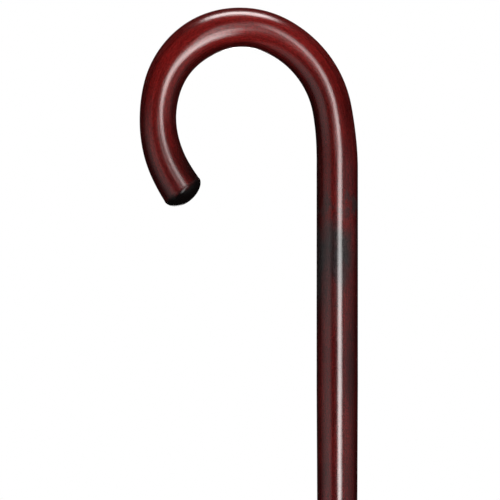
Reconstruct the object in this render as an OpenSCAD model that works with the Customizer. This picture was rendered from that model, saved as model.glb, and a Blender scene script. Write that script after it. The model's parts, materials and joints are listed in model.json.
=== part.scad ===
// Crook-handled walking cane: one steam-bent hardwood stick on a push-on
// rubber tip with a steel washer in its socket.
//
// The origin is the middle of the tip's ground face, +Z runs up the shaft,
// and the crook turns over towards -X. All sizes are in millimetres.

/* [Stick] */
// Height of the cane, from the floor to the top of the crook
cane_h = 914; // [760:2:960]
// Diameter of the shaft below the crook
shaft_d = 25.4; // [23:0.2:27]
// Length of the parallel shaft below the crook
parallel_l = 134; // [80:2:180]
// Diameter of the shaft's lower end
end_d = 19; // [17:0.5:21]

/* [Crook radii] */
// Centre line radius where the shaft begins to lean
lean_r = 200; // [170:5:230]
// Centre line radius of the shoulder
shoulder_r = 63; // [55:1:70]
// Centre line radius over the crown
crown_r = 50; // [45:1:55]
// Centre line radius down the front
front_r = 70; // [60:1:80]
// Centre line radius of the nose
nose_r = 120; // [100:5:160]

/* [Crook angles] */
// Turn of the lean, in degrees
lean_a = 10; // [6:1:12]
// Turn of the shoulder, in degrees
shoulder_a = 52; // [48:1:56]
// Turn over the crown, in degrees
crown_a = 102; // [98:1:106]
// Turn down the front, in degrees
front_a = 44; // [40:1:48]
// Turn of the nose, in degrees
nose_a = 10; // [6:1:12]
// Length of the rounded end of the nose
nose_l = 8.5; // [6:0.5:11]

/* [Rubber tip] */
// Height of the tip
tip_h = 44; // [40:1:52]
// Diameter of the tip's foot
foot_d = 38; // [34:1:44]
// Diameter of the tip's neck
neck_d = 27; // [25.5:0.5:29]
// Thickness of the rubber and washer below the shaft
floor_t = 10; // [8:0.5:12]
// Gap all round between the shaft and its socket
socket_gap = 0.05; // [0.02:0.01:0.1]

/* [Washer] */
// How far the washer's rim reaches into the rubber
washer_rim = 0.75; // [0.5:0.05:1.2]
// Diameter of the washer's hole
washer_hole_d = 6.5; // [5:0.5:9]
// Thickness of the washer
washer_t = 1.6; // [1:0.1:2]

/* [Hidden] */

wood_color = [0.36, 0.09, 0.08];
rubber_color = [0.10, 0.10, 0.11];
steel_color = [0.72, 0.73, 0.75];

// Stick
end_l = 38;        // parallel lower end, a little longer than the socket
end_chamfer = 0.8; // edge of the sawn lower end
root_l = 2;        // how far the crook's solid reaches down into the shaft
root_gap = 0.02;   // how far it stays inside the shaft's surface there

// Crook
bend_r = [lean_r, shoulder_r, crown_r, front_r, nose_r];
bend_a = [lean_a, shoulder_a, crown_a, front_a, nose_a];
// Thickness at equal steps from shaft to nose, as a share of shaft_d: the
// bends are sanded by hand, so it isn't even
girth = [1, 0.955, 0.95, 0.95, 0.97, 0.995, 0.935, 0.885, 0.95, 1.02];
ring_sides = 32;
ring_step = 4.2;
dome_rings = 6;

// Tip
socket_d = end_d + 2 * socket_gap;
washer_d = socket_d + 2 * washer_rim;
mouth_chamfer = 1.2;  // lead-in at the socket's mouth
foot_band_h = 5;      // upright edge of the foot
foot_edge_r = 1.2;    // rounding of the foot's edges
flare_top = 21;       // height at which the flare meets the neck
flare_power = 2.4;    // how sharply the flare turns out
rib_count = 3;        // grip ribs round the neck
rib_pitch = 4.6;
rib_first = 24.5;     // height of the lowest rib
rib_r = 0.9;
bead_h = 5;           // rolled rim at the mouth
bead_out = 1.3;
tread_depth = 1.8;    // grooves in the sole
tread_groove = 2;     // width of a groove
tread_pitch = 4.5;    // from one groove to the next
tread_first = 4.5;    // radius of the middle land
tread_count = 3;
curve_steps = 10;
washer_gap = 0.05;    // round the washer in its groove

// ---- centre line of the crook, from the top of the shaft -----------------

// A state is [x, z, heading]. Turning left by a degrees on radius r:
function turned(p, r, a) = [
    p[0] + r * (sin(p[2] + a) - sin(p[2])),
    p[1] - r * (cos(p[2] + a) - cos(p[2])),
    p[2] + a
];

function arc_l(i) = bend_r[i] * bend_a[i] * PI / 180;
function length_before(i) = i == 0 ? 0 : length_before(i - 1) + arc_l(i - 1);
function bend_start(i) = i == 0 ? [0, 0, 90]
    : turned(bend_start(i - 1), bend_r[i - 1], bend_a[i - 1]);
function bend_at(s, i = 0) = i == len(bend_r) - 1 || s <= length_before(i + 1)
    ? i : bend_at(s, i + 1);
function state_at(s) = let (i = bend_at(s))
    turned(bend_start(i), bend_r[i], (s - length_before(i)) / bend_r[i] * 180 / PI);

crook_l = length_before(len(bend_r));

// ---- thickness of the crook ----------------------------------------------

function pick(list, i) = list[max(0, min(len(list) - 1, i))];
// Smooth curve through the values of a list, for u from 0 to 1
function through(list, u) = let (
        t = u * (len(list) - 1), i = min(floor(t), len(list) - 2), f = t - i,
        a = pick(list, i - 1), b = pick(list, i),
        c = pick(list, i + 1), d = pick(list, i + 2))
    b + f / 2 * (c - a + f * (2 * a - 5 * b + 4 * c - d + f * (3 * b - a - 3 * c + d)));
function radius_at(s) = shaft_d / 2 * through(girth, max(0, min(1, s / crook_l)));

// The crown is where the centre line lies flat
crown_s = length_before(2) + crown_r * (90 - lean_a - shoulder_a) * PI / 180;
crook_h = state_at(crown_s)[1] + radius_at(crown_s);
shaft_top = cane_h - crook_h;
taper_top = shaft_top - parallel_l;

// ---- shapes --------------------------------------------------------------

// Each ring is [distance along the centre line, radius]
crook_rings = let (
        body_l = crook_l - nose_l,
        n = ceil(body_l / ring_step))
    concat(
        [[-root_l, shaft_d / 2 - root_gap], [0, shaft_d / 2 - root_gap]],
        [for (k = [1 : n]) let (s = body_l * k / n) [s, radius_at(s)]],
        [for (k = [1 : dome_rings]) let (a = 90 * k / (dome_rings + 0.5))
            [body_l + nose_l * sin(a), radius_at(crook_l) * cos(a)]]
    );

function ring_points(s, r) = let (p = s < 0 ? [0, s, 90] : state_at(s))
    [for (k = [0 : ring_sides - 1]) let (a = 360 * k / ring_sides)
        [p[0] - r * cos(a) * sin(p[2]), r * sin(a), p[1] + r * cos(a) * cos(p[2])]];

module crook() {
    rings = len(crook_rings);
    points = [for (ring = crook_rings) each ring_points(ring[0], ring[1])];
    sides = [for (i = [0 : rings - 2], k = [0 : ring_sides - 1])
        let (m = (k + 1) % ring_sides, a = i * ring_sides, b = a + ring_sides)
        [a + k, a + m, b + m, b + k]];
    root = [for (k = [ring_sides - 1 : -1 : 0]) k];
    nose = [for (k = [0 : ring_sides - 1]) (rings - 1) * ring_sides + k];
    polyhedron(points, concat(sides, [root, nose]), convexity = 4);
}

module shaft() {
    rotate_extrude($fn = 96) polygon([
        [0, floor_t],
        [end_d / 2 - end_chamfer, floor_t],
        [end_d / 2, floor_t + end_chamfer],
        [end_d / 2, floor_t + end_l],
        [shaft_d / 2, taper_top],
        [shaft_d / 2, shaft_top],
        [0, shaft_top]
    ]);
}

// Quarter round about [r, z], from angle a to angle b
function round_off(r, z, radius, a, b) = [for (k = [0 : curve_steps / 2])
    let (t = a + (b - a) * k / (curve_steps / 2)) [r + radius * cos(t), z + radius * sin(t)]];

module tread_grooves() {
    for (k = [0 : tread_count - 1])
        translate([tread_first + k * tread_pitch, -1])
            square([tread_groove, tread_depth + 1]);
}

module tip_profile() {
    foot_r = foot_d / 2;
    neck_r = neck_d / 2;
    band_top = foot_edge_r + foot_band_h;
    flare_base = foot_r - foot_edge_r;
    polygon(concat(
        [[0, 0]],
        round_off(flare_base, foot_edge_r, foot_edge_r, -90, 0),
        round_off(flare_base, band_top, foot_edge_r, 0, 90),
        [for (k = [1 : curve_steps]) let (t = k / curve_steps)
            [neck_r + (flare_base - neck_r) * pow(1 - t, flare_power),
             band_top + foot_edge_r + (flare_top - band_top - foot_edge_r) * t]],
        [[neck_r, tip_h], [0, tip_h]]
    ));
    for (k = [0 : rib_count - 1])
        translate([neck_r, rib_first + k * rib_pitch]) circle(rib_r, $fn = 24);
    translate([0, tip_h - bead_h]) {
        square([neck_r, bead_h]);
        translate([0, bead_out]) square([neck_r + bead_out, bead_h - 2 * bead_out]);
        for (z = [bead_out, bead_h - bead_out])
            translate([neck_r, z]) circle(bead_out, $fn = 24);
    }
}

module socket_profile() {
    translate([0, floor_t - washer_t])
        square([washer_d / 2 + washer_gap, washer_t]);
    translate([0, floor_t - 0.5])
        square([socket_d / 2, tip_h]);
    polygon([
        [0, tip_h - mouth_chamfer - socket_d / 2],
        [socket_d / 2 + mouth_chamfer + 1, tip_h + 1],
        [0, tip_h + 1]
    ]);
}

// ---- sub-parts -----------------------------------------------------------

// One length of hardwood, bent over at the top and tapered below
module bentwood_stick() {
    color(wood_color) {
        shaft();
        translate([0, 0, shaft_top]) crook();
    }
}

// Push-on tip with a flared foot, grip ribs and a treaded sole
module rubber_tip() {
    color(rubber_color) rotate_extrude($fn = 96) difference() {
        tip_profile();
        socket_profile();
        tread_grooves();
    }
}

// Steel washer that the shaft stands on, snapped into a groove of the socket
module tip_washer() {
    color(steel_color) translate([0, 0, floor_t - washer_t]) difference() {
        cylinder(h = washer_t, d = washer_d, $fn = 64);
        translate([0, 0, -1]) cylinder(h = washer_t + 2, d = washer_hole_d, $fn = 48);
    }
}

bentwood_stick();
rubber_tip();
tip_washer();
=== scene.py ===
"""Looks of a crook-handled walking cane: a lacquered bentwood stick on a rubber tip and washer."""
import json
import math

import bpy
import numpy as np
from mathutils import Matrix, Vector, noise


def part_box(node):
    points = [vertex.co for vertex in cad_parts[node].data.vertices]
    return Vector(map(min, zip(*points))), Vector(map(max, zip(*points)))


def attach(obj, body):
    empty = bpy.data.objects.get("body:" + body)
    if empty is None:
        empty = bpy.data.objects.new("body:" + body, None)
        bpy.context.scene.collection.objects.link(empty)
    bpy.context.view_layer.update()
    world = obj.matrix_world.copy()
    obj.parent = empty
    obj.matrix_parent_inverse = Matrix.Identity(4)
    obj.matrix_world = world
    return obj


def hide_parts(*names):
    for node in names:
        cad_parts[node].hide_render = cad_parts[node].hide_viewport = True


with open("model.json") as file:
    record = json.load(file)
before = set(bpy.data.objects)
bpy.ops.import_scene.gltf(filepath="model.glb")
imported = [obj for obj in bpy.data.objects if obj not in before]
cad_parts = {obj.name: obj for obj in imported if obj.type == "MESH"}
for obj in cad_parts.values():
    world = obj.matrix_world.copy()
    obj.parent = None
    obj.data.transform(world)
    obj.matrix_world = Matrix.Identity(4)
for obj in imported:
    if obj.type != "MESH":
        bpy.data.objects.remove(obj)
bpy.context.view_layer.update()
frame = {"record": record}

MM = 0.001
MOUNTS = {m["name"]: m for m in frame["record"]["mounts"]}

# ---- driving dimensions of the CAD model, in millimetres -------------------
# The crook's bends from the shaft to the nose: radii of the centre line, and turns in degrees.
BEND_RADII = (200, 63, 50, 70, 120)
BEND_ANGLES = (10, 52, 102, 44, 10)
# The crook's thickness at equal steps along it, as a share of the shaft's.
GIRTH = (1, 0.955, 0.95, 0.95, 0.97, 0.995, 0.935, 0.885, 0.95, 1.02)
NOSE_LENGTH = 8.5
END_RADIUS = 9.5
END_LENGTH = 38
END_CHAMFER = 0.8
# The smallest ring that hand sanding reaches.
SANDED_FROM = 0.9 * END_RADIUS

SHAFT_RADIUS = MOUNTS["upper_shaft"]["dims"]["r_mm"]
PARALLEL_LENGTH = MOUNTS["upper_shaft"]["dims"]["length_mm"]
SHAFT_TOP = MOUNTS["upper_shaft"]["pos_m"][2] / MM + PARALLEL_LENGTH / 2
TAPER_TOP = SHAFT_TOP - PARALLEL_LENGTH
STICK_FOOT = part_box("bentwood_stick")[0].z / MM
CROOK_LENGTH = sum(r * math.radians(a) for r, a in zip(BEND_RADII, BEND_ANGLES))

TIP_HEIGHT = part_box("rubber_tip")[1].z / MM
FOOT_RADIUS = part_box("rubber_tip")[1].x / MM
NECK_RADIUS = 13.5
SOCKET_RADIUS = 9.55
WASHER_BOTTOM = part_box("tip_washer")[0].z / MM
WASHER_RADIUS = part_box("tip_washer")[1].x / MM
WASHER_HOLE_RADIUS = 3.25
WASHER_GAP = 0.05


# ---- mesh helpers ----------------------------------------------------------

def mesh_object(name, points, faces, sharp_deg=40.0):
    """A smooth-shaded mesh from points in metres."""
    mesh = bpy.data.meshes.new(name)
    mesh.from_pydata([tuple(p) for p in points], [], faces)
    mesh.polygons.foreach_set("use_smooth", [True] * len(mesh.polygons))
    mesh.set_sharp_from_angle(angle=math.radians(sharp_deg))
    mesh.update()
    piece = bpy.data.objects.new(name, mesh)
    bpy.context.collection.objects.link(piece)
    return piece


def ring_faces(rings, sides):
    """Quads between successive rings of points, and a fan to a pole at each end."""
    faces = []
    first, last = 0, 1 + rings * sides
    for k in range(sides):
        m = (k + 1) % sides
        faces.append((first, 1 + m, 1 + k))
        for i in range(rings - 1):
            a, b = 1 + i * sides, 1 + (i + 1) * sides
            faces.append((a + k, a + m, b + m, b + k))
        end = 1 + (rings - 1) * sides
        faces.append((last, end + k, end + m))
    return faces


def arc(r, z, radius, start, end, steps=5):
    """Points [r, z] of an arc about (r, z), from one angle to another in degrees."""
    angles = [math.radians(start + (end - start) * k / steps) for k in range(steps + 1)]
    return [(r + radius * math.cos(a), z + radius * math.sin(a)) for a in angles]


# ---- the stick -------------------------------------------------------------

def turned(state, radius, angle):
    """The centre line's [x, z, heading] after a left turn of angle degrees."""
    x, z, heading = state
    h, e = math.radians(heading), math.radians(heading + angle)
    return (x + radius * (math.sin(e) - math.sin(h)),
            z - radius * (math.cos(e) - math.cos(h)), heading + angle)


def state_at(s):
    """The crook's centre line s mm past the top of the shaft."""
    state = (0.0, SHAFT_TOP, 90.0)
    for i, (radius, angle) in enumerate(zip(BEND_RADII, BEND_ANGLES)):
        length = radius * math.radians(angle)
        if s <= length or i == len(BEND_RADII) - 1:
            return turned(state, radius, math.degrees(s / radius))
        state = turned(state, radius, angle)
        s -= length


def crook_radius(share):
    """The crook's radius at a share of its length: a smooth curve through GIRTH."""
    t = min(max(share, 0.0), 1.0) * (len(GIRTH) - 1)
    i = min(int(t), len(GIRTH) - 2)
    f = t - i
    a, b, c, d = (GIRTH[min(max(i + k, 0), len(GIRTH) - 1)] for k in (-1, 0, 1, 2))
    bend = f / 2 * (c - a + f * (2 * a - 5 * b + 4 * c - d + f * (3 * b - a - 3 * c + d)))
    return SHAFT_RADIUS * (b + bend)


def shaft_radius(z):
    """The shaft's radius at height z: parallel end, taper, then parallel."""
    low = STICK_FOOT + END_LENGTH
    share = min(max((z - low) / (TAPER_TOP - low), 0.0), 1.0)
    return END_RADIUS + (SHAFT_RADIUS - END_RADIUS) * share


def shaft_rings(step=3.5):
    """The rings of the shaft's cut face, its chamfer and its length, as stick_rings gives them."""
    face_radius = END_RADIUS - END_CHAMFER
    sizes = [(STICK_FOOT, face_radius * share) for share in (0.12, 0.3, 0.5, 0.7, 0.85, 0.97)]
    for share in (0.0, 0.25, 0.75, 1.0):
        sizes.append((STICK_FOOT + END_CHAMFER * share, END_RADIUS - END_CHAMFER * (1 - share)))
    sizes += [(z, shaft_radius(z)) for z in np.arange(STICK_FOOT + 3, SHAFT_TOP - 1, step)]
    return [((0.0, z, 90.0), radius, z) for z, radius in sizes]


def crook_rings(body_count=190, dome_count=26):
    """The rings of the crook and its domed nose, as stick_rings gives them."""
    body = CROOK_LENGTH - NOSE_LENGTH
    sizes = [(s, crook_radius(s / CROOK_LENGTH)) for s in np.linspace(0, body, body_count)]
    for angle in np.linspace(0, math.pi / 2, dome_count)[1:-1]:
        sizes.append((body + NOSE_LENGTH * math.sin(angle), crook_radius(1.0) * math.cos(angle)))
    return [(state_at(s), radius, SHAFT_TOP + s) for s, radius in sizes]


def stick_rings():
    """Every ring of the stick as (centre line's state, radius, height in the unbent wood)."""
    return shaft_rings() + crook_rings()


def hand_sanding(u, v, height):
    """How far hand sanding has left the surface under its nominal radius, all in mm."""
    broad = noise.noise(Vector((u * 0.05, v * 0.05, height * 0.022)))
    fine = noise.noise(Vector((u * 0.11 + 7, v * 0.11, height * 0.07)))
    return 0.035 + 0.026 * broad + 0.008 * fine


def stick_point(ring, turn):
    """A point of a ring, and its place in the straight, unbent wood, both in metres."""
    (x, z, heading), radius, height = ring
    u, v = radius * math.cos(turn), radius * math.sin(turn)
    sanded = 1.0
    if radius > SANDED_FROM:
        sanded = 1 - hand_sanding(u, v, height) / radius
    h = math.radians(heading)
    point = (MM * (x - u * sanded * math.sin(h)), -MM * v * sanded, MM * (z + u * sanded * math.cos(h)))
    return point, (MM * u, MM * v, MM * height)


def make_stick(sides=112):
    """The stick's surface, with each point's place in the unbent wood kept for its grain."""
    rings = stick_rings()
    foot = (rings[0][0], 0.0, STICK_FOOT)
    nose = (state_at(CROOK_LENGTH), 0.0, SHAFT_TOP + CROOK_LENGTH)
    turns = [2 * math.pi * k / sides for k in range(sides)]
    placed = [stick_point(foot, 0.0)]
    placed += [stick_point(ring, turn) for ring in rings for turn in turns]
    placed.append(stick_point(nose, 0.0))
    points, grain = zip(*placed)
    piece = mesh_object("stick", points, ring_faces(len(rings), sides))
    unbent = piece.data.attributes.new("unbent", "FLOAT_VECTOR", "POINT")
    unbent.data.foreach_set("vector", np.array(grain, np.float32).ravel())
    return piece


# ---- the rubber tip --------------------------------------------------------

FOOT_EDGE = 1.2
FOOT_BAND_TOP = 6.2
FLARE_TOP = 21
FLARE_POWER = 2.4
RIB_HEIGHTS = (24.5, 29.1, 33.7)
RIB_OUT = 0.9
BEAD_BOTTOM = 39
BEAD_OUT = 1.3
GROOVE_STARTS = (4.5, 9, 13.5)
GROOVE_WIDTH = 2
GROOVE_DEPTH = 1.8
# The two fine seams left by the mould: their height, half their width and their places, in degrees.
SEAM_OUT = 0.14
SEAM_HALF = 1.1
SEAM_ANGLES = (28, 208)


def sole_profile(edge=0.35):
    """The treaded sole from its middle outwards, with every edge rounded."""
    points = [(1.5, 0.0), (3.0, 0.0)]
    for start in GROOVE_STARTS:
        end = start + GROOVE_WIDTH
        points += arc(start - edge, edge, edge, -90, 0, 3)
        points += arc(start + edge, GROOVE_DEPTH - edge, edge, 180, 90, 3)
        points += arc(end - edge, GROOVE_DEPTH - edge, edge, 90, 0, 3)
        points += arc(end + edge, edge, edge, 180, 270, 3)
    return points


def wall_profile():
    """The outside from the foot's edge up to the rolled rim at the mouth."""
    flare_base = FOOT_RADIUS - SEAM_OUT - FOOT_EDGE
    points = arc(flare_base, FOOT_EDGE, FOOT_EDGE, -90, 0)
    points += [(flare_base + FOOT_EDGE, z) for z in (2.2, 3.2, 4.2, 5.2)]
    points += arc(flare_base, FOOT_BAND_TOP, FOOT_EDGE, 0, 90)
    flare_bottom = FOOT_BAND_TOP + FOOT_EDGE
    for t in np.linspace(0, 1, 19)[1:]:
        points.append((NECK_RADIUS + (flare_base - NECK_RADIUS) * (1 - t) ** FLARE_POWER,
                       flare_bottom + (FLARE_TOP - flare_bottom) * t))
    for height in RIB_HEIGHTS:
        points += [(NECK_RADIUS + RIB_OUT * math.cos(a) ** 1.5, height + 1.25 * math.sin(a))
                   for a in np.radians(np.linspace(-90, 90, 13))]
    rim = NECK_RADIUS + 0.02
    points += arc(NECK_RADIUS + 0.5, BEAD_BOTTOM - 0.45, 0.5, 180, 100, 3)
    points += arc(rim, BEAD_BOTTOM + BEAD_OUT, BEAD_OUT, -60, 0, 4)
    points += arc(rim, TIP_HEIGHT - BEAD_OUT, BEAD_OUT, 0, 90, 6)
    return points


def socket_profile():
    """The inside from the mouth down to the floor that carries the washer."""
    seat_top = STICK_FOOT
    seat_radius = WASHER_RADIUS + WASHER_GAP
    points = [(12.4, TIP_HEIGHT)]
    points += arc(SOCKET_RADIUS + 1.8, TIP_HEIGHT - 0.8, 0.8, 90, 150, 4)
    points += [(SOCKET_RADIUS + 0.5, TIP_HEIGHT - 1.7), (SOCKET_RADIUS, TIP_HEIGHT - 2.6)]
    points += [(SOCKET_RADIUS, z) for z in np.linspace(TIP_HEIGHT - 6, seat_top + 0.4, 9)]
    points += [(SOCKET_RADIUS + 0.15, seat_top), (seat_radius, seat_top - 0.02)]
    points += [(seat_radius, WASHER_BOTTOM + 0.02), (seat_radius - 0.2, WASHER_BOTTOM)]
    points += [(6.5, WASHER_BOTTOM), (3.0, WASHER_BOTTOM)]
    return points


def tip_turns():
    """Angles round the tip: even, but close together across the two seams of the mould."""
    turns = [2.5 * k for k in range(144)]
    for seam in SEAM_ANGLES:
        turns = [t for t in turns if abs(t - seam) > 2.2]
        turns += [seam + d for d in (-2.0, -1.1, -0.6, -0.25, 0.25, 0.6, 1.1, 2.0)]
    return sorted(turns)


def seam_height(turn):
    """How far the seams stand out at an angle in degrees."""
    away = min(abs(turn - seam) for seam in SEAM_ANGLES)
    return SEAM_OUT * max(0.0, 1 - away / SEAM_HALF) ** 0.5


def foot_wear(r, z, turn):
    """How much of the foot's lower edge the floor has rubbed away at an angle in degrees."""
    if z >= FOOT_EDGE or r <= GROOVE_STARTS[-1]:
        return 0.0
    a = math.radians(turn)
    rub = noise.noise(Vector((3.1 * math.cos(a), 3.1 * math.sin(a), r)))
    return 0.16 * max(0.0, rub + 0.35)


def make_tip(seam_margin=3):
    """The moulded tip: a turned profile with its mould's seams raised and its foot's edge worn."""
    sole, wall, socket = sole_profile(), wall_profile(), socket_profile()
    profile = sole + wall + socket
    seam_rings = range(len(sole) + seam_margin, len(sole) + len(wall) - seam_margin)
    turns = tip_turns()
    points = [(0.0, 0.0, 0.0)]
    for i, (r, z) in enumerate(profile):
        for turn in turns:
            worn = foot_wear(r, z, turn)
            reach = r - worn + (seam_height(turn) if i in seam_rings else 0.0)
            a = math.radians(turn)
            points.append((MM * reach * math.cos(a), MM * reach * math.sin(a), MM * (z + 0.5 * worn)))
    points.append((0.0, 0.0, MM * WASHER_BOTTOM))
    return mesh_object("ferrule", points, ring_faces(len(profile), len(turns)), 50)


# ---- the washer ------------------------------------------------------------

def washer_profile(edge=0.3, burr=0.1):
    """A stamped washer's closed section: rolled edges above, small burrs below."""
    low, high = WASHER_BOTTOM, STICK_FOOT
    inner, outer = WASHER_HOLE_RADIUS, WASHER_RADIUS
    between = (4.5, 6.0, 7.5, 9.0)
    points = arc(outer - burr, low + burr, burr, -90, 0, 2)
    points += arc(outer - edge, high - edge, edge, 0, 90, 4)
    points += [(r, high) for r in reversed(between)]
    points += arc(inner + edge, high - edge, edge, 90, 180, 4)
    points += arc(inner + burr, low + burr, burr, 180, 270, 2)
    points += [(r, low) for r in between]
    return points


def make_washer(sides=96):
    """The washer, turned from its section."""
    profile = washer_profile()
    points = []
    for r, z in profile:
        for k in range(sides):
            a = 2 * math.pi * k / sides
            points.append((MM * r * math.cos(a), MM * r * math.sin(a), MM * z))
    faces = []
    for i in range(len(profile)):
        j = (i + 1) % len(profile)
        for k in range(sides):
            m = (k + 1) % sides
            faces.append((i * sides + k, i * sides + m, j * sides + m, j * sides + k))
    return mesh_object("steel_washer", points, faces, 50)


# ---- node trees ------------------------------------------------------------

class Nodes:
    """Builds a node tree: every call adds a node and returns one of its outputs."""

    def __init__(self, tree):
        self.tree = tree
        tree.nodes.clear()

    def add(self, kind, out=0, inputs=None, **settings):
        node = self.tree.nodes.new(kind)
        for key, value in settings.items():
            setattr(node, key, value)
        for key, value in (inputs or {}).items():
            self.put(node.inputs[key], value)
        return node.outputs[out] if len(node.outputs) else node

    def put(self, socket, value):
        if isinstance(value, bpy.types.NodeSocket):
            self.tree.links.new(value, socket)
        else:
            socket.default_value = value

    def math(self, operation, a, b=0.0):
        return self.add("ShaderNodeMath", inputs={0: a, 1: b}, operation=operation)

    def times(self, *values):
        """The product of several values."""
        product = values[0]
        for value in values[1:]:
            product = self.math("MULTIPLY", product, value)
        return product

    def ramp(self, value, low, high, to_low=0.0, to_high=1.0):
        """value from low to high becomes to_low to to_high, smoothly and no further."""
        inputs = {"Value": value, "From Min": low, "From Max": high}
        inputs.update({"To Min": to_low, "To Max": to_high})
        return self.add("ShaderNodeMapRange", inputs=inputs, interpolation_type="SMOOTHSTEP")

    def between(self, value, rise, fall):
        """1 between two soft edges, each given as (from, to), and 0 outside them."""
        return self.times(self.ramp(value, *rise), self.ramp(value, *fall, 1.0, 0.0))

    def mix(self, factor, a, b, blend="MIX"):
        inputs = {"Factor": factor, "A": a, "B": b}
        node = self.tree.nodes.new("ShaderNodeMix")
        node.data_type = "RGBA"
        node.blend_type = blend
        for socket in node.inputs:
            if socket.enabled and socket.name in inputs:
                self.put(socket, inputs[socket.name])
        return next(s for s in node.outputs if s.enabled)

    def shade(self, colour, amount):
        """A colour multiplied by a number."""
        grey = self.add("ShaderNodeCombineColor", inputs={0: amount, 1: amount, 2: amount})
        return self.mix(1.0, colour, grey, "MULTIPLY")

    def noise(self, vector, scale, detail=2.0, roughness=0.5, distortion=0.0):
        """Noise with its number of cycles per metre, one or (x, y, z)."""
        if isinstance(scale, tuple):
            vector = self.add("ShaderNodeMapping", inputs={"Vector": vector, "Scale": scale})
            scale = 1.0
        inputs = {"Vector": vector, "Scale": scale, "Detail": detail, "Roughness": roughness,
                  "Distortion": distortion}
        return self.add("ShaderNodeTexNoise", inputs=inputs)

    def bump(self, height, distance, strength=1.0, normal=None):
        inputs = {"Height": height, "Distance": distance, "Strength": strength}
        if normal is not None:
            inputs["Normal"] = normal
        return self.add("ShaderNodeBump", inputs=inputs)


def new_material(name):
    material = bpy.data.materials.new(name)
    material.use_nodes = True
    return material, Nodes(material.node_tree)


def dress(piece, material, body, node):
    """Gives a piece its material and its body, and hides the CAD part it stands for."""
    piece.data.materials.append(material)
    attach(piece, body)
    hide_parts(node)


# ---- materials -------------------------------------------------------------

DEEP_RED = (0.034, 0.0019, 0.0022, 1)
WARM_RED = (0.062, 0.0034, 0.0031, 1)
# Painted light: the brighter red laid over the crook.
PAINTED_LIT_RED = (0.082, 0.0040, 0.0036, 1)
SMOKE = (0.0105, 0.0084, 0.0086, 1)
SOOT = (0.0016, 0.0011, 0.0011, 1)
RAW_WOOD = (0.30, 0.17, 0.085, 1)
PINK_SHINE = (0.74, 0.46, 0.44, 1)
RED_SHINE = (1.0, 0.40, 0.38, 1)
PALE_SHINE = (1.0, 0.74, 0.72, 1)
GREY_SHINE = (0.64, 0.66, 0.66, 1)
BLACK_SHINE = (0.06, 0.05, 0.05, 1)
RUBBER_DARK = (0.0045, 0.0045, 0.0048, 1)
RUBBER_PALE = (0.0095, 0.0092, 0.0090, 1)
SCUFF = (0.050, 0.047, 0.042, 1)
DUST = (0.070, 0.064, 0.055, 1)
SOLE_DARK = (0.022, 0.021, 0.020, 1)
SOLE_PALE = (0.055, 0.052, 0.047, 1)
ZINC_DARK = (0.56, 0.56, 0.55, 1)
ZINC_PALE = (0.68, 0.67, 0.63, 1)

# The smoky patch, in metres. Between two places across the shaft its lower fade moves from the first
# height and length to the second. Its upper edge is short, with a thin band above it.
SMOKE_SIDES = (-0.007, 0.003)
SMOKE_STARTS = (0.748, 0.700)
SMOKE_FADES = (0.018, 0.060)
SMOKE_TOP = (0.779, 0.787)
SMOKE_BAND = ((0.7885, 0.7925), (0.7945, 0.800))
SMOKE_RAGGED = 0.007


def crook(s):
    """The height in the unbent wood, in metres, s mm past the top of the shaft."""
    return MM * (SHAFT_TOP + s)


class Wood:
    """What the stick's colour and lacquer share: places in the unbent wood, noises and masks."""

    def __init__(self, n):
        self.unbent = n.add("ShaderNodeAttribute", out="Vector", attribute_name="unbent")
        place = n.add("ShaderNodeSeparateXYZ", inputs={"Vector": self.unbent}).node.outputs
        self.side, self.front, self.height = place["X"], place["Y"], place["Z"]

        self.clouds = n.noise(self.unbent, (60, 60, 26), 4)
        self.blotches = n.noise(self.unbent, (170, 170, 110), 3)
        self.speckle = n.noise(self.unbent, (1150, 1150, 760), 2, 0.6)
        self.fibres = n.noise(self.unbent, (2600, 2600, 110), 2)

        self.smoke = self.smoke_mask(n)
        ragged = n.ramp(self.blotches, 0.3, 0.7, -0.0008, 0.0008)
        dome = CROOK_LENGTH - NOSE_LENGTH
        ragged_height = n.math("ADD", self.height, ragged)
        self.end_grain = n.ramp(ragged_height, crook(dome - 1.4), crook(dome + 2.2))
        self.cut_face = n.ramp(self.height, MM * (STICK_FOOT + 0.2), MM * (STICK_FOOT + 0.6), 1.0, 0.0)

    def smoke_mask(self, n):
        """Where the stain is smoky grey, under the crook: a sharp upper edge and a long fade down."""
        ragged = n.noise(self.unbent, (130, 130, 60), 3)
        edge = n.math("ADD", self.height, n.ramp(ragged, 0.3, 0.7, -SMOKE_RAGGED, SMOKE_RAGGED))
        start = n.ramp(self.side, *SMOKE_SIDES, *SMOKE_STARTS)
        length = n.ramp(self.side, *SMOKE_SIDES, *SMOKE_FADES)
        fade = n.ramp(n.math("SUBTRACT", edge, start), 0.0, length)
        thin_right = n.ramp(self.side, -0.0110, -0.0050, 0.30, 1.0)
        main = n.times(fade, n.ramp(edge, *SMOKE_TOP, 1.0, 0.0), thin_right)
        band = n.times(n.between(edge, *SMOKE_BAND), 0.8)
        patchy = n.ramp(n.noise(self.unbent, (90, 90, 45), 4), 0.34, 0.60, 0.45, 1.0)
        thin_front = n.ramp(self.front, -0.012, 0.0, 0.3, 1.0)
        return n.times(n.math("MAXIMUM", main, band), patchy, thin_front)


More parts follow.
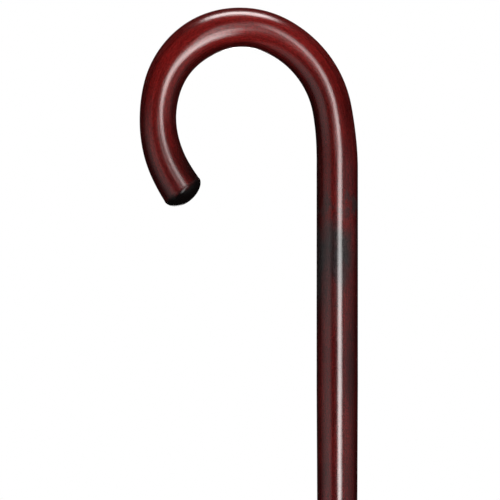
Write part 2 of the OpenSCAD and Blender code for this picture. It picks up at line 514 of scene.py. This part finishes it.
def stain_depth_and_painted_light(n, wood):
    """Painted shade and light over the stain: painted shade along both sides of the stick and under the
    crook, a darker band over the shoulder, a painted highlight low on the left of the shaft, and darker
    down the shaft and lighter over the crook.
    """
    drift = n.ramp(n.noise(wood.unbent, (70, 70, 9), 2), 0.3, 0.7, -0.003, 0.003)
    across = n.math("ADD", wood.side, drift)
    outwards = n.math("ADD", across, n.ramp(wood.height, crook(5), crook(35), 0.0012, 0.0))
    # Painted shade: both sides of the stick darker, where the light falls off across it, and more so on
    # the inner side of the crook.
    outer_painted_shade = n.ramp(wood.height, 0.78, crook(15), 0.46, 0.55)
    outer = n.ramp(outwards, -0.0100, -0.0055, outer_painted_shade, 1.0)
    inner = n.ramp(across, 0.0060, 0.0110, 1.0, n.ramp(wood.height, 0.68, crook(10), 0.52, 0.32))
    # Painted shade on the inner side of the shaft under the crook and up into it.
    painted_shade_under_crook = n.between(wood.height, (0.69, 0.76), (crook(20), crook(90)))
    painted_shade_under_crook = n.times(painted_shade_under_crook, n.ramp(across, -0.002, 0.007))
    shoulder = n.between(wood.height, (crook(15), crook(35)), (crook(50), crook(85)))
    sides = n.times(outer, inner)
    # The painted shade under the crook, and a darker band over the shoulder.
    patches = n.times(n.ramp(painted_shade_under_crook, 0.0, 1.0, 1.0, 0.62), n.ramp(shoulder, 0.0, 1.0, 1.0, 0.86))
    # Painted highlight: a lighter band low on the left of the shaft, where the highlight spreads.
    painted_highlight_low = n.between(wood.height, (0.560, 0.590), (0.635, 0.655))
    painted_highlight_low = n.times(painted_highlight_low, n.ramp(wood.side, -0.003, 0.003))
    # Painted shade and painted highlight, multiplied together.
    painted_light_and_shade = n.times(sides, patches, n.ramp(painted_highlight_low, 0.0, 1.0, 1.0, 1.5))
    return n.times(painted_light_and_shade, n.ramp(wood.height, 0.64, crook(60), 0.79, 1.08))


def stain_with_painted_light(n, wood):
    """The red stain, with painted light as a brighter red over the crook, and painted shade and a
    painted highlight laid over it.
    """
    colour = n.mix(n.ramp(wood.clouds, 0.34, 0.66), DEEP_RED, WARM_RED)
    # Painted light: a brighter red over the crook, where the light from above falls.
    painted_lit_crook = n.between(wood.height, (crook(15), crook(105)), (crook(140), crook(235)))
    painted_lit_red = n.times(painted_lit_crook, n.ramp(wood.blotches, 0.25, 0.75, 0.75, 1.15))
    colour = n.mix(painted_lit_red, colour, PAINTED_LIT_RED)
    return n.shade(colour, stain_depth_and_painted_light(n, wood))


def weathered_stain(n, wood):
    """The stain with its smoky patches, smudges, streaks, speckle and dark pores."""
    streaks = n.noise(wood.unbent, (620, 620, 20), 4, 0.6, 0.3)
    pores = n.noise(wood.unbent, (3400, 3400, 240), 1)
    colour = n.mix(n.times(wood.smoke, 0.96), stain_with_painted_light(n, wood), SMOKE)
    smudges = n.times(n.ramp(wood.clouds, 0.60, 0.72), n.ramp(wood.height, 0.30, 0.86, 0.5, 0.15))
    colour = n.mix(smudges, colour, SMOKE)
    colour = n.shade(colour, n.ramp(streaks, 0.36, 0.64, 0.80, 1.16))
    colour = n.shade(colour, n.ramp(wood.speckle, 0.30, 0.70, 0.62, 1.40))
    return n.mix(n.ramp(pores, 0.66, 0.74, 0.0, 0.5), colour, SOOT)


def blackened_nose(n, wood, colour):
    """The colour with the nose's end grain black, and painted shade on the inner side on the way to it.
    """
    colour = n.mix(wood.end_grain, colour, SOOT)
    # Painted shade: the inner side darker towards the nose.
    painted_shade_near_nose = n.between(wood.height, (crook(205), crook(243)), (crook(300), crook(310)))
    return n.mix(n.times(painted_shade_near_nose, n.ramp(wood.side, 0.001, 0.011), 0.75), colour, SOOT)


def sawn_end(n, wood, rings_per_metre=4200):
    """Raw wood with growth rings, for the face inside the tip."""
    across = n.add("ShaderNodeCombineXYZ", inputs={0: wood.side, 1: wood.front})
    distance = n.add("ShaderNodeVectorMath", out="Value", operation="LENGTH", inputs={0: across})
    uneven = n.math("ADD", distance, n.ramp(wood.blotches, 0.2, 0.8, 0.0, 0.0012))
    rings = n.math("SINE", n.times(uneven, rings_per_metre))
    raw = n.shade(RAW_WOOD, n.ramp(rings, -1.0, 1.0, 0.72, 1.1))
    return n.shade(raw, n.ramp(wood.speckle, 0.3, 0.7, 0.75, 1.15))


def lacquer_weight(n, wood):
    """How thick the gloss is: thinner on the crook, the smoke and the nose, none on the sawn end."""
    worn_up = n.ramp(wood.height, 0.72, crook(60), 0.94, 0.64)
    worn_down = n.ramp(wood.height, crook(175), crook(225), 1.0, 0.66)
    coated = n.ramp(wood.cut_face, 0.0, 1.0, 1.0, 0.0)
    soaked_in = n.ramp(wood.end_grain, 0.0, 1.0, 1.0, 0.5)
    smoked = n.ramp(wood.smoke, 0.0, 1.0, 1.0, 0.84)
    return n.times(n.times(worn_up, worn_down), 0.90, n.times(coated, soaked_in), smoked)


def wood_normals(n, wood):
    """Bumps of the wood, rougher over the crook, and the gentler waves of the lacquer on it."""
    chatter = n.noise(wood.unbent, (60, 60, 620), 1)
    waviness = n.noise(wood.unbent, (420, 420, 170), 2)
    fine = n.math("ADD", n.times(wood.speckle, 0.6), n.times(wood.fibres, 0.8))
    relief = n.math("ADD", fine, n.times(chatter, 0.5))
    over_crook = n.between(wood.height, (0.78, crook(40)), (crook(400), crook(410)))
    skin = n.bump(n.times(relief, n.ramp(over_crook, 0.0, 1.0, 0.35, 1.0)), 0.000045)
    return skin, n.bump(waviness, 0.00003, 1.0, skin)


def stained_wood():
    """Dark red stain with smoky patches and painted shade and light, over fine straight grain, under
    gloss lacquer.
    """
    material, n = new_material("stained_hardwood")
    wood = Wood(n)
    colour = blackened_nose(n, wood, weathered_stain(n, wood))
    colour = n.mix(wood.cut_face, colour, sawn_end(n, wood))
    skin, film = wood_normals(n, wood)
    shine = n.mix(n.ramp(wood.height, 0.72, crook(90)), PINK_SHINE, RED_SHINE)
    shine = n.mix(n.ramp(wood.height, crook(170), crook(235)), shine, PALE_SHINE)
    shine = n.mix(wood.smoke, shine, GREY_SHINE)
    roughness = n.math("ADD", n.ramp(wood.fibres, 0.3, 0.7, 0.24, 0.34), n.times(wood.end_grain, 0.6))
    principled = n.add("ShaderNodeBsdfPrincipled", inputs={
        "Base Color": colour,
        "Roughness": roughness,
        "Specular IOR Level": 0.20,
        "Specular Tint": n.mix(wood.end_grain, shine, BLACK_SHINE),
        "Normal": skin,
        "Coat Weight": lacquer_weight(n, wood),
        "Coat Roughness": 0.10,
        "Coat IOR": 1.5,
        "Coat Normal": film,
    })
    n.add("ShaderNodeOutputMaterial", inputs={"Surface": principled})
    return material


def moulded_rubber():
    """Black rubber: fine moulding grain, dust in its hollows, a scuffed foot and a worn grey sole."""
    material, n = new_material("black_rubber")
    place = n.add("ShaderNodeTexCoord", out="Object")
    axes = n.add("ShaderNodeSeparateXYZ", inputs={"Vector": place}).node.outputs
    normal = n.add("ShaderNodeNewGeometry", out="Normal")
    facing = n.add("ShaderNodeSeparateXYZ", inputs={"Vector": normal}).node.outputs
    down = n.times(facing["Z"], -1.0)

    patches = n.noise(place, 90, 4)
    grain = n.noise(place, 1900, 2)
    scuffs = n.noise(place, (240, 240, 1500), 4, 0.65)
    crumbs = n.noise(place, 700, 3, 0.7)

    colour = n.mix(n.ramp(patches, 0.35, 0.65), RUBBER_DARK, RUBBER_PALE)
    near_foot = n.ramp(axes["Z"], 0.0, 0.014, 1.0, 0.0)
    scuffed = n.times(near_foot, n.ramp(scuffs, 0.52, 0.68))
    colour = n.mix(n.times(scuffed, 0.5), colour, SCUFF)
    dust = n.times(n.ramp(axes["Z"], 0.002, 0.030, 0.35, 0.06), n.ramp(crumbs, 0.48, 0.72))
    colour = n.mix(dust, colour, DUST)
    sole = n.times(n.ramp(down, 0.5, 0.95), n.ramp(axes["Z"], 0.0005, 0.0016, 1.0, 0.0))
    worn = n.mix(n.ramp(crumbs, 0.35, 0.65), SOLE_DARK, SOLE_PALE)
    colour = n.mix(n.times(sole, 0.85), colour, worn)

    roughness = n.math("ADD", n.ramp(patches, 0.3, 0.7, 0.46, 0.60), n.times(scuffed, 0.2))
    bumps = n.bump(n.math("ADD", n.times(grain, 0.5), n.times(scuffed, -0.7)), 0.00009)
    principled = n.add("ShaderNodeBsdfPrincipled", inputs={
        "Base Color": colour,
        "Roughness": roughness,
        "Specular IOR Level": 0.26,
        "Sheen Weight": 0.02,
        "Normal": bumps,
    })
    n.add("ShaderNodeOutputMaterial", inputs={"Surface": principled})
    return material


def plated_steel():
    """Bright zinc plating with turning marks round the hole, spangle and a few rubbed patches."""
    material, n = new_material("plated_steel")
    place = n.add("ShaderNodeTexCoord", out="Object")
    axes = n.add("ShaderNodeSeparateXYZ", inputs={"Vector": place}).node.outputs
    flat = n.add("ShaderNodeCombineXYZ", inputs={0: axes["X"], 1: axes["Y"]})
    radius = n.add("ShaderNodeVectorMath", out="Value", operation="LENGTH", inputs={0: flat})
    outwards = n.add("ShaderNodeCombineXYZ", inputs={0: radius})
    turning = n.noise(outwards, (9000, 1, 1), 3, 0.7)
    spangle = n.add("ShaderNodeTexVoronoi", out="Color", inputs={"Vector": place, "Scale": 650.0})
    rubbed = n.noise(place, 380, 4)

    colour = n.mix(n.ramp(rubbed, 0.35, 0.65), ZINC_DARK, ZINC_PALE)
    colour = n.mix(0.10, colour, spangle, "SOFT_LIGHT")
    colour = n.shade(colour, n.ramp(turning, 0.3, 0.7, 0.86, 1.04))
    dulled = n.ramp(rubbed, 0.5, 0.8, 0.0, 0.12)
    roughness = n.math("ADD", n.ramp(turning, 0.3, 0.7, 0.22, 0.36), dulled)
    principled = n.add("ShaderNodeBsdfPrincipled", inputs={
        "Base Color": colour,
        "Metallic": 1.0,
        "Roughness": roughness,
        "Normal": n.bump(turning, 0.00002),
    })
    n.add("ShaderNodeOutputMaterial", inputs={"Surface": principled})
    return material


# ---- light, floor and camera -----------------------------------------------

VIEW_CENTRE = Vector((-0.0534, 0.0, 0.7656))
VIEW_WIDTH = 0.306
CAMERA_DISTANCE = 3.4
AMBIENT = 0.01
WHITE = (1, 1, 1, 1)
PALE_GREY = (0.42, 0.42, 0.42, 1)

# Soft panels at a great distance, each where it is seen from the object. Azimuth 0 is towards the
# camera and grows to its right. Each edge is (start, end) of its fade, in degrees: left, right,
# lower and upper. The last number is the panel's brightness. LEFTMOST is where azimuths start.
LEFTMOST = -140.0
PANELS = (
    ((4, 9), (20, 25), (-31, -27), (-24, -20), 6.0),
    ((-112, -52), (-45, -27), (-100, -20), (-6, 10), 1.0),
    ((28, 44), (44, 124), (-64, -30), (-5, 12), 0.54),
    ((-1, 4), (12, 20), (-21, -14), (-7, -1), 8.0),
    ((173, 176), (184, 187), (-30, -22), (-12, -8), 12.0),
)
# The panel overhead: its fades away from straight up, to each side and to the front and back,
# as tangents, and its brightness.
OVERHEAD = ((0.24, 0.50), (0.10, 0.30), 17.5)

# The near light: an invisible upright card before the object that glows in two shapes, a strip and
# a patch. Its box is left, right, bottom and top, in metres. Edges are (start, end) of their fades.
CARD_DISTANCE = 0.85
CARD_BOX = (-0.4, 0.6, -0.1, 1.7)
CARD_BRIGHTNESS = 14.5
# The strip: its left and right edges, and its lower and upper ones.
STRIP_SIDES = ((-0.06, 0.17), (0.23, 0.50))
STRIP_ENDS = ((-0.06, 0.36), (0.58, 1.70))
# Between these heights the whole strip moves right, and between the next its left edge does.
SWERVE = 0.02
SWERVE_HEIGHTS = ((0.70, 1.00), (1.04, 1.28))
NARROWING = 0.07
NARROW_HEIGHTS = ((0.82, 0.94), (1.00, 1.14))
# From the first height to the second it grows brighter, up to this share.
BRIGHTENING = (0.80, 0.92, 1.0, 1.4)
# The patch: its sides, its ends and its share of the strip's brightness.
PATCH_SIDES = ((-0.17, -0.11), (-0.06, -0.03))
PATCH_ENDS = ((0.86, 0.90), (1.00, 1.40))
PATCH_SHARE = 0.34

# The broad lights on the far side: name and azimuth.
FILLS = (("fill_left", -130), ("fill_right", 130))


def make_world():
    """White behind the object, and round it a dark studio with soft panels of light."""
    world = bpy.data.worlds.new("studio")
    world.use_nodes = True
    n = Nodes(world.node_tree)
    direction = n.add("ShaderNodeTexCoord", out="Generated")
    axes = n.add("ShaderNodeSeparateXYZ", inputs={0: direction}).node.outputs
    x, y, z = axes["X"], axes["Y"], axes["Z"]
    azimuth = n.math("DEGREES", n.math("ARCTAN2", x, n.times(y, -1.0)))
    wrap = {0: azimuth, 1: LEFTMOST + 360, 2: LEFTMOST}
    azimuth = n.add("ShaderNodeMath", inputs=wrap, operation="WRAP")
    elevation = n.math("DEGREES", n.math("ARCSINE", z))

    light = AMBIENT
    for left, right, lower, upper, brightness in PANELS:
        panel = n.times(n.between(azimuth, left, right), n.between(elevation, lower, upper), brightness)
        light = n.math("ADD", panel, light)
    sideways = n.ramp(n.math("DIVIDE", n.math("ABSOLUTE", x), z), *OVERHEAD[0], 1.0, 0.0)
    frontways = n.ramp(n.math("DIVIDE", n.math("ABSOLUTE", y), z), *OVERHEAD[1], 1.0, 0.0)
    above = n.math("GREATER_THAN", z, 0.5)
    light = n.math("ADD", n.times(sideways, frontways, above, OVERHEAD[2]), light)

    studio = n.add("ShaderNodeBackground", inputs={"Color": WHITE, "Strength": light})
    white = n.add("ShaderNodeBackground", inputs={"Color": WHITE, "Strength": 1.0})
    to_camera = n.add("ShaderNodeLightPath", out="Is Camera Ray")
    seen = n.add("ShaderNodeMixShader", inputs={0: to_camera, 1: studio, 2: white})
    n.add("ShaderNodeOutputWorld", inputs={"Surface": seen})
    bpy.context.scene.world = world


def card_glow(n):
    """How brightly the near card glows at each point: the strip and the dimmer patch on its left."""
    place = n.add("ShaderNodeTexCoord", out="Object")
    axes = n.add("ShaderNodeSeparateXYZ", inputs={"Vector": place}).node.outputs
    across, up = axes["X"], axes["Z"]
    swerved = n.math("SUBTRACT", across, n.times(n.between(up, *SWERVE_HEIGHTS), SWERVE))
    narrowed = n.math("SUBTRACT", swerved, n.times(n.between(up, *NARROW_HEIGHTS), NARROWING))
    left, right = STRIP_SIDES
    strip = n.times(n.ramp(narrowed, *left), n.ramp(swerved, *right, 1.0, 0.0))
    strip = n.times(strip, n.between(up, *STRIP_ENDS), n.ramp(up, *BRIGHTENING))
    patch = n.times(n.between(across, *PATCH_SIDES), n.between(up, *PATCH_ENDS), PATCH_SHARE)
    return n.times(n.math("ADD", strip, patch), CARD_BRIGHTNESS)


def make_front_light(floor):
    """The near card. It isn't seen itself, and lights the object but not the floor."""
    left, right, bottom, top = CARD_BOX
    corners = [(left, bottom), (right, bottom), (right, top), (left, top)]
    card = mesh_object("front_light", [(x, -CARD_DISTANCE, z) for x, z in corners], [(0, 1, 2, 3)])
    material, n = new_material("front_light")
    emission = n.add("ShaderNodeEmission", inputs={"Strength": card_glow(n)})
    clear = n.add("ShaderNodeBsdfTransparent")
    both = n.add("ShaderNodeAddShader", inputs={0: emission, 1: clear})
    n.add("ShaderNodeOutputMaterial", inputs={"Surface": both})
    card.data.materials.append(material)
    card.visible_camera = False
    card.visible_shadow = False
    unlit = bpy.data.collections.new("unlit_by_card")
    unlit.objects.link(floor)
    unlit.collection_objects[0].light_linking.link_state = "EXCLUDE"
    card.light_linking.receiver_collection = unlit


def towards(azimuth, elevation):
    """The unit vector towards a light, with its azimuth measured as in PANELS."""
    a, e = math.radians(azimuth), math.radians(elevation)
    return Vector((math.sin(a) * math.cos(e), -math.cos(a) * math.cos(e), math.sin(e)))


def fill_light(name, azimuth, elevation=25, strength=2.8, width=50):
    """A broad soft light for the far side, which isn't seen as a reflection."""
    light = bpy.data.lights.new(name, "SUN")
    light.energy = strength
    light.angle = math.radians(width)
    lamp = bpy.data.objects.new(name, light)
    lamp.rotation_euler = towards(azimuth, elevation).to_track_quat("Z", "Y").to_euler()
    lamp.visible_glossy = False
    bpy.context.collection.objects.link(lamp)


def make_floor(radius=3.0):
    """A pale round floor under the tip that fades out at its edge."""
    bpy.ops.mesh.primitive_circle_add(vertices=96, radius=radius, fill_type="NGON")
    floor = bpy.context.object
    floor.name = "floor"
    material, n = new_material("pale_floor")
    place = n.add("ShaderNodeTexCoord", out="Object")
    away = n.add("ShaderNodeVectorMath", out="Value", inputs={0: place}, operation="LENGTH")
    pale = n.add("ShaderNodeBsdfPrincipled", inputs={"Base Color": PALE_GREY, "Roughness": 0.9})
    clear = n.add("ShaderNodeBsdfTransparent")
    fade = n.ramp(away, 0.5 * radius, 0.98 * radius)
    shown = n.add("ShaderNodeMixShader", inputs={0: fade, 1: pale, 2: clear})
    n.add("ShaderNodeOutputMaterial", inputs={"Surface": shown})
    floor.data.materials.append(material)
    floor.visible_glossy = False
    floor.visible_diffuse = False
    floor.visible_shadow = False
    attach(floor, "tip")
    return floor


def make_camera():
    lens = bpy.data.cameras.new("camera")
    lens.sensor_width = 36
    lens.lens = lens.sensor_width * CAMERA_DISTANCE / VIEW_WIDTH
    lens.clip_end = 60
    camera = bpy.data.objects.new("camera", lens)
    camera.location = VIEW_CENTRE - Vector((0, CAMERA_DISTANCE, 0))
    camera.rotation_euler = (math.radians(90), 0, 0)
    bpy.context.collection.objects.link(camera)
    bpy.context.scene.camera = camera


make_camera()
make_world()
for fill_name, fill_azimuth in FILLS:
    fill_light(fill_name, fill_azimuth)
make_front_light(make_floor())
bpy.context.scene.view_settings.view_transform = "Standard"

dress(make_stick(), stained_wood(), "stick", "bentwood_stick")
dress(make_tip(), moulded_rubber(), "tip", "rubber_tip")
dress(make_washer(), plated_steel(), "tip", "tip_washer")
